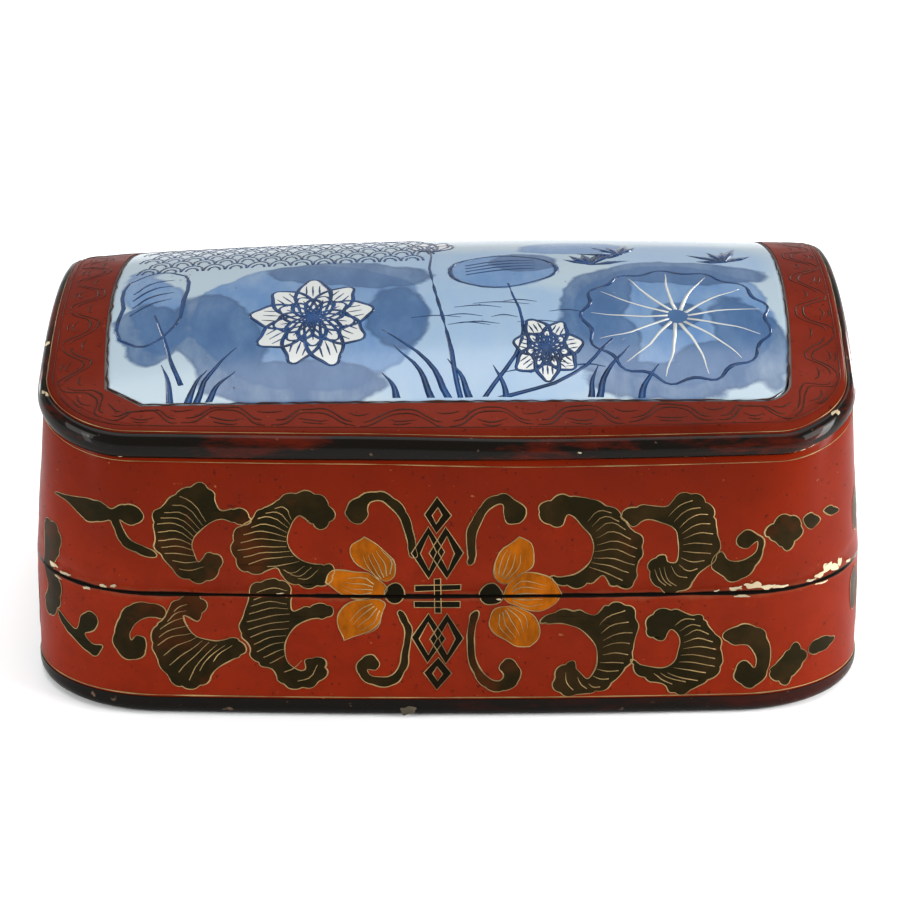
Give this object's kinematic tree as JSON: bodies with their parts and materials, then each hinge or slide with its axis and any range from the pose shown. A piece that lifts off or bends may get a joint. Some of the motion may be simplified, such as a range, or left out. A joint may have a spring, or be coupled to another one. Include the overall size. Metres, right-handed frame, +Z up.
{
  "type": "ink stone and ink stick box",
  "caption": "Red lacquered wooden box with a bowed front and back, a domed lift-off lid set with a curved porcelain panel, and a fitted tray for an ink stone and an ink stick.",
  "frame": {"origin": "middle of the underside, on the surface the box stands on", "axes": "+X to the right along the long front, +Y to the back, +Z up"},
  "size_m": [0.2026, 0.1486, 0.0873],
  "materials": {
    "red_lacquer": "gloss lacquer",
    "black_lacquer": "gloss lacquer",
    "inner_lacquer": "satin lacquer",
    "tray_lacquer": "satin lacquer",
    "bamboo": "plain",
    "porcelain": "glazed",
    "putty": "matte lacquer putty",
    "lining_silk": "woven silk",
    "pad_silk": "woven silk",
    "ink_stone": "honed",
    "ink": "moulded ink"
  },
  "bodies": {
    "base": {"base_board": "black_lacquer", "board_pegs": "bamboo", "base_wall": "red_lacquer", "base_lip": "inner_lacquer", "base_lining": "lining_silk"},
    "lid": {"lid_wall": "red_lacquer", "crown_frame": "red_lacquer", "rim_bead": "black_lacquer", "porcelain_panel": "porcelain", "panel_putty": "putty", "crown_backing": "inner_lacquer", "lid_lining": "lining_silk"},
    "tray": {"fitted_tray": "tray_lacquer", "stone_pad": "pad_silk", "stick_pad": "pad_silk"},
    "stone": {"ink_stone": "ink_stone"},
    "stick": {"ink_stick": "ink"}
  },
  "joints": [
    {"name": "lid_lift", "type": "slide", "parent": "base", "child": "lid", "axis": [0, 0, 1], "range_m": [0, 0.12]},
    {"name": "tray_lift", "type": "slide", "parent": "base", "child": "tray", "axis": [0, 0, 1], "range_m": [0, 0.042]},
    {"name": "stone_lift", "type": "slide", "parent": "tray", "child": "stone", "axis": [0, 0, 1], "range_m": [0, 0.024]},
    {"name": "stick_lift", "type": "slide", "parent": "tray", "child": "stick", "axis": [0, 0, 1], "range_m": [0, 0.024]}
  ],
  "couplings": [
    {"joint": "tray_lift", "follows": "lid_lift", "ratio": 0.35},
    {"joint": "stone_lift", "follows": "lid_lift", "ratio": 0.2},
    {"joint": "stick_lift", "follows": "lid_lift", "ratio": 0.2}
  ]
}
